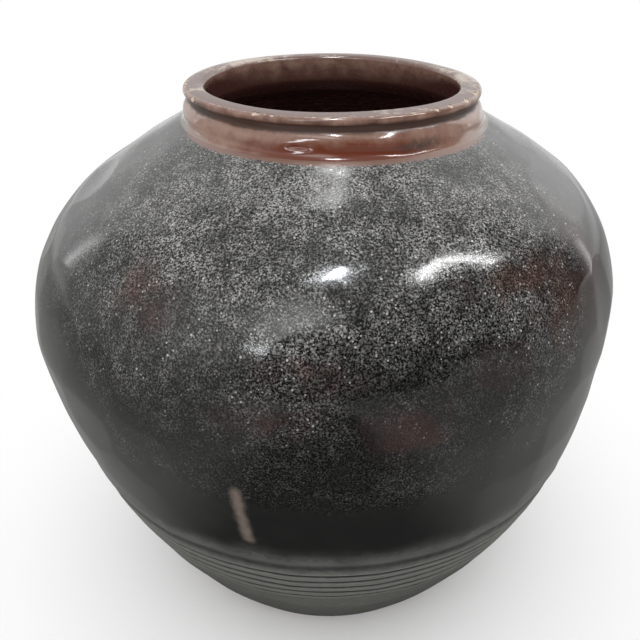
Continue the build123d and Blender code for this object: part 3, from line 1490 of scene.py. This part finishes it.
@dataclass
class Assembly:
    """What the sub-assemblies share: the skin, and how their pieces are made and dressed."""

    skin: Skin

    def pieces(self) -> dict[str, tuple[ClayPiece, str]]:
        """The pieces and their material slots, by CAD node. Each sub-assembly has its own."""
        raise NotImplementedError

    def build(self, finishes: dict[str, bpy.types.Material]) -> None:
        """Makes and dresses the pieces, hangs them on the root body and hides the CAD node that each one
        stands for.

        Args:
            finishes: The material of each slot.
        """
        for node, (piece, slot) in self.pieces().items():
            made = piece.make([finishes[slot], finishes["inside_glaze"], finishes["bare_clay"]])
            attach(made, "root")
            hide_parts(node)


@dataclass
class Foot(Assembly):
    """The base disc, the coil in its corner and the first band of the wall."""

    flat_spacing: float = 6.0
    flat_margin: float = 2.0
    edge_margin: float = 1.0
    edge_spacing: float = 0.8
    wall_spacing: float = 1.5
    inner_spacing: float = 4.0

    def base_disc(self) -> ClayPiece:
        """The slab: its underside and edge outside, and its middle inside.

        Returns:
            The piece.
        """
        path = self.skin.outline
        piece = ClayPiece("base_disc", self.skin)
        edge = path.ends["underside"]
        piece.add_skin(0, edge - self.flat_margin, self.flat_spacing, Face.OUTSIDE)
        piece.faces[-1] = Face.OUTSIDE.value
        piece.add_skin(edge - self.edge_margin, path.ends["base_side"], self.edge_spacing, Face.OUTSIDE)
        piece.add_corner(*path.corner)
        piece.add_skin(path.starts["floor"], path.ends["floor"], self.flat_spacing, Face.INSIDE)
        return piece

    def corner_coil(self) -> ClayPiece:
        """The coil: its thumbed face inside, and its two faces against the wall and the slab.

        Returns:
            The piece.
        """
        path = self.skin.outline
        piece = ClayPiece("corner_coil", self.skin)
        piece.add_skin(path.starts["coil"], path.ends["coil"], self.edge_spacing, Face.INSIDE)
        piece.add_corner(*path.corner)
        return piece

    def foot_band(self) -> ClayPiece:
        """The first band, from the slab up to its joint with the combed band.

        Returns:
            The piece.
        """
        path = self.skin.outline
        share = path.sizes.foot_joint_share
        piece = ClayPiece("foot_band", self.skin)
        top = path.starts["lower"] + share * path.length_of("lower")
        inner_top = path.starts["coil"] - (share * path.inner_lower_length - path.sizes.corner_coil_leg)
        piece.add_skin(path.starts["lower"], top, self.wall_spacing, Face.OUTSIDE)
        piece.add_skin(inner_top, path.starts["coil"], self.inner_spacing, Face.INSIDE)
        piece.add_corner(*path.corner)
        return piece

    def pieces(self) -> dict[str, tuple[ClayPiece, str]]:
        """The sub-assembly's pieces and their material slots, by CAD node.

        Returns:
            Each piece with its slot.
        """
        return {
            "base_disc": (self.base_disc(), "bare_clay"),
            "corner_coil": (self.corner_coil(), "inside_glaze"),
            "foot_band": (self.foot_band(), "foot_glaze"),
        }


@dataclass
class Wall(Assembly):
    """The five bands from the comb's lines up to the neck."""

    comb_spacing: float = 0.9
    wall_spacing: float = 1.5
    inner_spacing: float = 3.0

    def band(self, name: str, run: str, low_share: float, high_share: float, spacing: float) -> ClayPiece:
        """A band of the wall between two shares of an outer run and the same shares of the inner one.

        Args:
            name: The piece's name.
            run: The run of the outline that its outside lies on.
            low_share: The share at which the band starts.
            high_share: The share at which it ends.
            spacing: How far apart its outer rows lie.

        Returns:
            The piece.
        """
        path = self.skin.outline
        length = path.length_of(run)
        inner_length = path.inner_lower_length if run == "lower" else path.length_of(f"inner_{run}")
        inner_foot = path.starts[f"inner_{run}"] + inner_length
        piece = ClayPiece(name, self.skin)
        piece.add_skin(
            path.starts[run] + low_share * length,
            path.starts[run] + high_share * length,
            spacing,
            Face.OUTSIDE,
        )
        piece.add_skin(
            inner_foot - high_share * inner_length,
            inner_foot - low_share * inner_length,
            self.inner_spacing,
            Face.INSIDE,
        )
        return piece

    def pieces(self) -> dict[str, tuple[ClayPiece, str]]:
        """The sub-assembly's pieces and their material slots, by CAD node.

        Returns:
            Each piece with its slot.
        """
        sizes = self.skin.outline.sizes
        foot, comb, belly = sizes.foot_joint_share, sizes.comb_joint_share, sizes.belly_joint_share
        even = self.wall_spacing
        bands = {
            "combed_band": ("foot_glaze", "lower", foot, comb, self.comb_spacing),
            "lower_belly_band": ("body_glaze", "lower", comb, 1, even),
            "upper_belly_band": ("body_glaze", "belly", 0, belly, even),
            "lower_shoulder_band": ("body_glaze", "belly", belly, 1, even),
            "upper_shoulder_band": ("body_glaze", "shoulder", 0, 1, even),
        }
        return {name: (self.band(name, *place), slot) for name, (slot, *place) in bands.items()}


@dataclass
class Mouth(Assembly):
    """The neck collar and the rolled rim."""

    neck_spacing: float = 0.5
    throat_spacing: float = 1.0
    rim_spacing: float = 0.45

    def neck_collar(self) -> ClayPiece:
        """The collar: its bulge outside, and the throat inside.

        Returns:
            The piece.
        """
        path = self.skin.outline
        piece = ClayPiece("neck_collar", self.skin)
        piece.add_skin(path.starts["root"], path.ends["bulge"], self.neck_spacing, Face.OUTSIDE)
        piece.add_skin(path.starts["mouth_wall"], path.ends["throat"], self.throat_spacing, Face.OUTSIDE)
        return piece

    def rolled_rim(self) -> ClayPiece:
        """The rim coil: the groove, the lip, the flat top and the top of the mouth's wall.

        Returns:
            The piece.
        """
        path = self.skin.outline
        piece = ClayPiece("rolled_rim", self.skin)
        piece.add_skin(path.starts["groove"], path.ends["mouth_top"], self.rim_spacing, Face.OUTSIDE)
        return piece

    def pieces(self) -> dict[str, tuple[ClayPiece, str]]:
        """The sub-assembly's pieces and their material slots, by CAD node.

        Returns:
            Each piece with its slot.
        """
        return {
            "neck_collar": (self.neck_collar(), "neck_glaze"),
            "rolled_rim": (self.rolled_rim(), "neck_glaze"),
        }


# The studio


def towards(azimuth: float, elevation: float) -> Vector:
    """A direction of length 1 from the jar.

    Args:
        azimuth: In degrees from the front to the viewer's right.
        elevation: In degrees from level.

    Returns:
        The direction.
    """
    around, up = radians(azimuth), radians(elevation)
    return Vector((sin(around) * cos(up), -cos(around) * cos(up), sin(up)))


class Reach(Enum):
    """What a lamp does: light the surfaces, or only shine in the glaze."""

    LIGHT = "light"
    SHINE = "shine"


@dataclass(frozen=True)
class Lamp:
    """A soft box: where it hangs as seen from the jar, its size in metres and its brightness."""

    name: str
    azimuth: float
    elevation: float
    distance: float
    width: float
    height: float
    brightness: float
    reach: Reach = Reach.SHINE
    tint: Colour = (1.0, 1.0, 1.0)

    def hang(self, target: Vector) -> None:
        """Makes the lamp and turns it to a target.

        Args:
            target: The place that it shines on.
        """
        data = bpy.data.lights.new(self.name, "AREA")
        data.shape = "RECTANGLE"
        data.size, data.size_y = self.width, self.height
        data.energy = self.brightness * pi * self.width * self.height
        data.color = self.tint
        made = bpy.data.objects.new(self.name, data)
        away = towards(self.azimuth, self.elevation)
        made.location = target + away * self.distance
        made.rotation_euler = away.to_track_quat("Z", "Y").to_euler()
        made.visible_camera = False
        made.visible_diffuse = self.reach is Reach.LIGHT
        made.visible_glossy = self.reach is Reach.SHINE
        bpy.context.collection.objects.link(made)


@dataclass(frozen=True)
class Glow:
    """A soft round brightness in the room that only the gloss shows, in degrees, with its gain."""

    azimuth: float
    elevation: float
    spread: float
    gain: float

    def shine(self, r: Bench) -> bpy.types.NodeSocket:
        """Its strength in a direction: the gain in its middle, fading to 0 at its spread.

        Args:
            r: The room's node tree.

        Returns:
            The strength.
        """
        near = r.node("ShaderNodeVectorMath", {"operation": "DOT_PRODUCT"})
        r.feed(near.inputs[0], r.here)
        near.inputs[1].default_value = towards(self.azimuth, self.elevation)
        return r.ramp(near.outputs["Value"], cos(radians(self.spread)), 1.0, 0.0, self.gain)


@dataclass(frozen=True)
class Room:
    """What the gloss of the glaze shows of the room, and the even light that falls on the jar.

    The room is brighter to the left and has soft glows in it, a pale wall behind the jar and a dark
    screen in front. Azimuths and elevations are in degrees, and the screen's edges are given by them.
    The other limits are on the X, Y or Z of a direction of length 1.
    """

    white: Colour = (1.0, 1.0, 1.0)
    fill: float = 1.0
    side_gloss: Point = (0.40, 0.12)
    side_limits: Point = (-0.6, 0.7)
    glows: tuple[Glow, ...] = (
        Glow(0, 90, 50, 0.35),
        Glow(-80, 18, 45, 0.3),
        Glow(-50, 32, 28, 0.6),
        Glow(-16, 45, 17, 3.5),
    )
    wall_gloss: Point = (0.9, 1.6)
    wall_limits: Point = (-0.3, 0.5)
    wall_azimuths: Point = (113.0, 121.0)
    wall_middle_share: float = 0.42
    wall_middle_depths: Point = (0.78, 0.97)
    wall_middle_heights: Point = (0.03, 0.14)
    wall_foot_share: float = 0.45
    wall_foot_heights: Point = (-0.05, 0.25)
    wall_top_share: float = 0.2
    wall_top_heights: Point = (0.8, 0.97)
    screen_gloss: float = 0.05
    screen_left: Point = (-30.2, -27.8)
    screen_right: Point = (65.4, 84.6)
    screen_top: Point = (32.8, 35.2)

    def wall(self, r: Bench, parts: Sockets, azimuth: bpy.types.NodeSocket) -> bpy.types.NodeSocket:
        """The pale wall behind the jar. It is dimmer straight behind it, low down and at the top.

        Args:
            r: The room's node tree.
            parts: The X, Y and Z of the direction.
            azimuth: Its azimuth in radians.

        Returns:
            The wall's brightness.
        """
        start, full = (radians(angle) for angle in self.wall_azimuths)
        middle = r.ramp(parts["Z"], *self.wall_middle_heights, 1.0, self.wall_middle_share)
        wall = r.ramp(r.sum("ABSOLUTE", azimuth), start, full)
        for dimmed in (
            r.ramp(parts["X"], *self.wall_limits, *self.wall_gloss),
            r.ramp(parts["Y"], *self.wall_middle_depths, 1.0, middle),
            r.ramp(parts["Z"], *self.wall_foot_heights, self.wall_foot_share, 1.0),
            r.ramp(parts["Z"], *self.wall_top_heights, 1.0, self.wall_top_share),
        ):
            wall = r.sum("MULTIPLY", wall, dimmed)
        return wall

    def screen(self, r: Bench, parts: Sockets, azimuth: bpy.types.NodeSocket) -> bpy.types.NodeSocket:
        """The dark screen in front of the jar, from a left edge to a right one and up to its top.

        Args:
            r: The room's node tree.
            parts: The X, Y and Z of the direction.
            azimuth: Its azimuth in radians.

        Returns:
            How much of the room's brightness the screen lets through.
        """
        elevation = r.sum("ARCSINE", parts["Z"])
        edges = (self.screen_left, self.screen_right, self.screen_top)
        left, right, top = ([radians(angle) for angle in edge] for edge in edges)
        across = r.sum("MULTIPLY", r.ramp(azimuth, *left), r.ramp(azimuth, *right, 1.0, 0.0))
        screen = r.sum("MULTIPLY", across, r.ramp(elevation, *top, 1.0, 0.0))
        return r.ramp(screen, 0.0, 1.0, 1.0, self.screen_gloss)

    def light(self) -> None:
        """Makes the world: white for the camera, the even fill for lighting, and the room for the gloss."""
        world = bpy.data.worlds.new("room")
        world.use_nodes = True
        r = Bench(world.node_tree, "Generated")
        parts = r.node("ShaderNodeSeparateXYZ", Vector=r.here).outputs
        azimuth = r.sum("ARCTAN2", parts["X"], r.sum("MULTIPLY", parts["Y"], -1.0))
        room = r.ramp(parts["X"], *self.side_limits, *self.side_gloss)
        for glow in self.glows:
            room = r.sum("ADD", room, glow.shine(r))
        room = r.sum("ADD", room, self.wall(r, parts, azimuth))
        room = r.sum("MULTIPLY", room, self.screen(r, parts, azimuth))
        for_light = r.ramp(r.ray("Is Diffuse Ray"), 0.0, 1.0, room, self.fill)
        seen = r.ramp(r.ray("Is Camera Ray"), 0.0, 1.0, for_light, 1.0)
        background = r.tree.nodes["Background"]
        r.feed(background.inputs["Color"], self.white)
        r.feed(background.inputs["Strength"], seen)
        bpy.context.scene.world = world


@dataclass(frozen=True)
class Studio:
    """A pale floor, a white room and soft lamps, with the camera of the photograph.

    The lamps of the arch hang in a bow, so that their shine is one curved streak on the shoulder.
    Places and limits are in metres, the camera's tilt and roll and the arch's directions in degrees.
    """

    floor_reach: float = 9.0
    floor_colour: Colour = (0.96, 0.96, 0.96)
    floor_in_gloss: Colour = (0.42, 0.42, 0.41)
    floor_front_in_gloss: Colour = (0.05, 0.05, 0.05)
    floor_front_limits: Point = (0.1, 0.24)
    floor_behind_limits: Point = (1.0, 2.4)
    floor_white_limits: Point = (0.03, 0.5)
    floor_roughness: float = 0.9
    room: Room = Room()
    target: tuple[float, float, float] = (0.0, 0.0, 0.25)
    camera_place: tuple[float, float, float] = (0.0, -0.500, 0.4738)
    camera_tilt: float = 60.57
    camera_roll: float = 0.40
    lens: float = 42.68
    shift: float = -0.0148
    lamps: tuple[Lamp, ...] = (
        Lamp("top_light", -30, 74, 2.4, 2.2, 2.2, 0.75, Reach.LIGHT),
        Lamp("back_box", 181, 79, 1.6, 0.24, 0.09, 40),
        Lamp("front_box", 0, 70, 1.6, 0.20, 0.24, 70, tint=(0.92, 0.96, 1.0)),
        Lamp("left_window", -24, 25, 1.8, 0.24, 0.14, 25, tint=(0.92, 0.96, 1.0)),
        Lamp("right_strip", 115, 3, 1.8, 0.08, 0.50, 2.5),
        Lamp("left_strip", -116, 12, 1.8, 0.06, 0.50, 3.5),
    )
    arch_lamp: Lamp = Lamp("arch", 0, 0, 1.6, 0.10, 0.08, 60)
    arch: tuple[Point, ...] = (
        (50, 55),
        (55, 57),
        (61, 57.7),
        (67, 58.3),
        (73, 58.3),
        (79, 56.5),
        (83, 53),
        (85, 48.5),
        (84, 44),
    )

    def floor_finish(self) -> bpy.types.Material:
        """The floor's material: matte, dim to the gloss, and white to the camera away from the jar.

        Returns:
            The material.
        """
        r = Recipe("floor")
        parts = r.node("ShaderNodeSeparateXYZ", Vector=r.here).outputs
        beside = r.ramp(r.sum("ABSOLUTE", parts["X"]), *self.floor_front_limits)
        behind = r.ramp(parts["Y"], *self.floor_behind_limits)
        layers = ((beside, self.floor_in_gloss), (behind, self.floor_colour))
        in_gloss = r.lay(self.floor_front_in_gloss, *layers)
        colour = r.mix(r.ray("Is Glossy Ray"), self.floor_colour, in_gloss)
        r.feed(r.shader.inputs["Base Color"], colour)
        r.feed(r.shader.inputs["Roughness"], self.floor_roughness)
        r.feed(r.shader.inputs["Specular IOR Level"], 0.0)
        white = r.node("ShaderNodeEmission", Color=self.room.white, Strength=1.0)
        away = r.node("ShaderNodeVectorMath", {"operation": "LENGTH"})
        r.feed(away.inputs[0], r.here)
        far = r.ramp(away.outputs["Value"], *self.floor_white_limits)
        blend = r.node("ShaderNodeMixShader", Fac=r.sum("MULTIPLY", far, r.ray("Is Camera Ray")))
        r.feed(blend.inputs[1], r.shader.outputs["BSDF"])
        r.feed(blend.inputs[2], white.outputs["Emission"])
        r.feed(r.tree.nodes["Material Output"].inputs["Surface"], blend.outputs["Shader"])
        return r.material

    def lay_floor(self) -> None:
        """Lays a flat floor that turns white, for the camera alone, away from the jar's shadow."""
        reach = self.floor_reach
        mesh = bpy.data.meshes.new("floor")
        corners = [(-reach, -reach, 0), (reach, -reach, 0), (reach, reach, 0), (-reach, reach, 0)]
        mesh.from_pydata(corners, [], [(0, 1, 2, 3)])
        mesh.materials.append(self.floor_finish())
        floor = bpy.data.objects.new("floor", mesh)
        bpy.context.collection.objects.link(floor)

    def hang_lamps(self) -> None:
        """Hangs the single lamps and those of the arch."""
        arch = [replace(self.arch_lamp, azimuth=azimuth, elevation=up) for azimuth, up in self.arch]
        for lamp in (*self.lamps, *arch):
            lamp.hang(Vector(self.target))

    def place_camera(self) -> None:
        """Puts the camera where the photograph was taken from."""
        data = bpy.data.cameras.new("camera")
        data.lens = self.lens
        data.shift_x = self.shift
        camera = bpy.data.objects.new("camera", data)
        tilt = Matrix.Rotation(radians(self.camera_tilt), 4, "X")
        roll = Matrix.Rotation(radians(self.camera_roll), 4, "Z")
        camera.matrix_world = Matrix.Translation(self.camera_place) @ tilt @ roll
        bpy.context.collection.objects.link(camera)
        bpy.context.scene.camera = camera

    def set_up(self) -> None:
        """Lays the floor, lights the room, hangs the lamps and places the camera."""
        self.lay_floor()
        self.room.light()
        self.hang_lamps()
        self.place_camera()
        bpy.context.scene.view_settings.view_transform = "Standard"


def main() -> None:
    """Builds the jar's pieces, dresses them and sets up the studio."""
    logging.basicConfig(level=logging.INFO, format="%(name)s: %(message)s")
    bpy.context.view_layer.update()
    outline = Outline(JarSizes())
    relief = Relief(outline)
    skin = Skin(outline, relief, Marks(outline, relief))
    wall_glaze = WallGlaze().make()
    finishes = {
        "body_glaze": wall_glaze,
        "foot_glaze": wall_glaze,
        "neck_glaze": NeckGlaze().make(),
        "inside_glaze": InsideGlaze().make(),
        "bare_clay": BareClay().make(),
    }
    for assembly in (Foot(skin), Wall(skin), Mouth(skin)):
        assembly.build(finishes)
    Studio().set_up()


if __name__ == "__main__":
    main()
